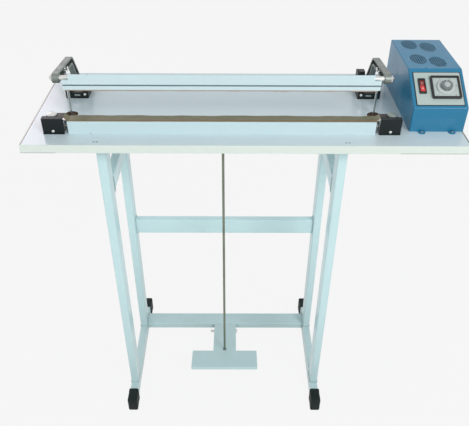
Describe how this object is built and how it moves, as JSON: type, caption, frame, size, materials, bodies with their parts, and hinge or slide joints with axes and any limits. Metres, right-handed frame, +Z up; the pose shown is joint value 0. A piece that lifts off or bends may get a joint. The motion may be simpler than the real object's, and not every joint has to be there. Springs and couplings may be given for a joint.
{
  "type": "foot-operated sealer",
  "caption": "Foot-operated bar sealer: a treadle pulls a swinging upper jaw down onto a heated lower jaw across a table on a tube stand, with a control box.",
  "frame": {"origin": "on the floor under the middle of the table", "axes": "+X to the operator's right along the jaws, +Y away from the operator, +Z up"},
  "size_m": [0.9, 0.396, 0.958],
  "materials": {
    "tube_paint": "satin",
    "jaw_paint": "satin",
    "box_paint": "satin",
    "black_paint": "satin",
    "panel_sheet": "satin",
    "laminate": "satin laminate",
    "edge_plastic": "matt",
    "foot_rubber": "matt",
    "seal_rubber": "matt",
    "arm_cast": "cast, satin paint",
    "zinc_steel": "zinc plated",
    "rod_steel": "drawn",
    "nickel_ribbon": "rolled",
    "insulation": "matt",
    "cloth": "coated, satin",
    "block_plastic": "matt",
    "black_plastic": "satin",
    "cap_plastic": "gloss",
    "red_plastic": "gloss",
    "knob_plastic": "gloss",
    "timer_plastic": "satin",
    "coil_tape": "satin",
    "core_steel": "varnished"
  },
  "bodies": {
    "stand": {"base_tube_left": "tube_paint", "base_tube_right": "tube_paint", "box_chassis": "zinc_steel", "box_cover": "box_paint", "box_lugs": "box_paint", "box_screws": "zinc_steel", "cap_nuts": "cap_plastic", "control_panel": "panel_sheet", "cord_gland": "black_plastic", "cover_cloth": "cloth", "cover_screws": "zinc_steel", "edge_band": "edge_plastic", "end_cover_left": "black_paint", "end_cover_right": "black_paint", "end_switch": "black_plastic", "foot_caps": "foot_rubber", "front_leg_left": "tube_paint", "front_leg_right": "tube_paint", "heating_ribbon": "nickel_ribbon", "housing_screws": "zinc_steel", "insulation_strip": "insulation", "jaw_bolts": "zinc_steel", "lower_crossbar": "tube_paint", "lower_jaw_beam": "jaw_paint", "mounting_strips": "tube_paint", "pivot_housing_left": "black_paint", "pivot_housing_right": "black_paint", "pivot_pins": "zinc_steel", "pivot_spacers": "zinc_steel", "rear_leg_left": "tube_paint", "rear_leg_right": "tube_paint", "return_spring_left": "rod_steel", "return_spring_right": "rod_steel", "ribbon_lugs": "zinc_steel", "rocker_switch": "black_plastic", "side_rail_left": "tube_paint", "side_rail_right": "tube_paint", "strip_screws": "zinc_steel", "table_board": "laminate", "terminal_block_left": "block_plastic", "terminal_block_right": "block_plastic", "terminal_strip": "block_plastic", "timer_unit": "timer_plastic", "transformer_coil": "coil_tape", "transformer_core": "core_steel", "treadle_lugs": "tube_paint", "treadle_pin": "zinc_steel", "upper_crossbar": "tube_paint"},
    "swing_arms": {"arm_left": "arm_cast", "arm_right": "arm_cast", "jaw_pins": "zinc_steel", "acorn_nuts": "zinc_steel", "rod_pins": "zinc_steel", "tail_pins": "zinc_steel"},
    "upper_jaw": {"upper_jaw_beam": "jaw_paint", "jaw_end_blocks": "jaw_paint", "pressure_rubber": "seal_rubber"},
    "pull_frame": {"pull_rods": "zinc_steel", "yoke_bar": "zinc_steel", "yoke_nuts": "zinc_steel", "centre_rod": "rod_steel", "rod_end_nut": "zinc_steel"},
    "pedal": {"treadle": "tube_paint"},
    "rocker": {"rocker_button": "red_plastic"},
    "dial": {"timer_knob": "knob_plastic"},
    "switch_blade": {"switch_lever": "zinc_steel"}
  },
  "joints": [
    {"name": "arm_swing", "type": "hinge", "parent": "stand", "child": "swing_arms", "pos_m": [-0.048, 0.049, 0.874], "axis": [1, 0, 0], "range_deg": [0, 19.79], "stiffness_Nm_per_rad": 6, "springref_deg": -68.75, "deforming": ["return_spring_left", "return_spring_right"]},
    {"name": "jaw_level", "type": "hinge", "parent": "swing_arms", "child": "upper_jaw", "pos_m": [-0.048, -0.103, 0.9465], "axis": [1, 0, 0], "range_deg": [-20, 0]},
    {"name": "rod_hang", "type": "hinge", "parent": "swing_arms", "child": "pull_frame", "pos_m": [-0.048, -0.037, 0.9375], "axis": [1, 0, 0], "range_deg": [-20, 0]},
    {"name": "treadle_press", "type": "hinge", "parent": "stand", "child": "pedal", "pos_m": [-0.048, 0.073, 0.024], "axis": [1, 0, 0], "range_deg": [0, 16.37]},
    {"name": "switch_blade_lift", "type": "hinge", "parent": "stand", "child": "switch_blade", "pos_m": [0.265, 0.086, 0.8707], "axis": [1, 0, 0], "range_deg": [-30.2, 0]},
    {"name": "rocker_tip", "type": "hinge", "parent": "stand", "child": "rocker", "pos_m": [0.3605, -0.07018, 0.91537], "axis": [1, 0, 0], "range_deg": [0, 10]},
    {"name": "timer_turn", "type": "hinge", "parent": "stand", "child": "dial", "pos_m": [0.4075, -0.0754, 0.91638], "axis": [0, -0.5039, 0.8638], "range_deg": [-135, 135]}
  ],
  "couplings": [
    {"joint": "jaw_level", "follows": "arm_swing", "ratio": -1},
    {"joint": "rod_hang", "follows": "arm_swing", "ratio": -0.9719},
    {"joint": "treadle_press", "follows": "arm_swing", "ratio": 0.827},
    {"joint": "switch_blade_lift", "follows": "arm_swing", "ratio": -1.5128}
  ]
}
